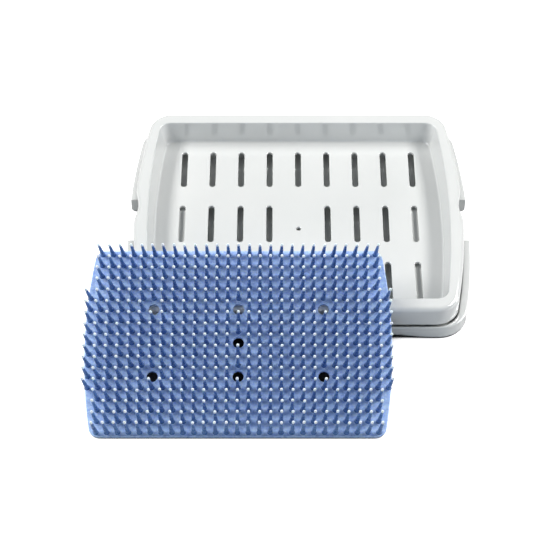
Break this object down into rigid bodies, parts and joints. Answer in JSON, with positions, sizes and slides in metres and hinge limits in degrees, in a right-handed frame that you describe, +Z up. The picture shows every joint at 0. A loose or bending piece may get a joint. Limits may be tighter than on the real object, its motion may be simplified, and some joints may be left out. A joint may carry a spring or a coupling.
{
  "type": "instrument tray",
  "caption": "Slotted plastic instrument tray with bowed ends, standing in its upturned lid, and a silicone finger mat leaning on its front rim.",
  "frame": {"origin": "centre of the lid's flat face, on the table the set stands on", "axes": "+X along the tray's length, +Y to its back, +Z up; the finger mat leans on the front rim, at -Y"},
  "size_m": [0.3184, 0.3408, 0.0717],
  "materials": {
    "white_plastic": "semi-gloss moulded",
    "blue_silicone": "satin silicone"
  },
  "bodies": {
    "lid": {"lid": "white_plastic"},
    "base_tray": {"base_tray": "white_plastic"},
    "finger_mat": {"finger_mat": "blue_silicone"}
  },
  "joints": [
    {"name": "tray_lift", "type": "slide", "parent": "lid", "child": "base_tray", "axis": [0, 0, 1], "range_m": [0, 0.06]},
    {"name": "mat_lift", "type": "slide", "parent": "base_tray", "child": "finger_mat", "axis": [0, 0, 1], "range_m": [0, 0.1]}
  ]
}
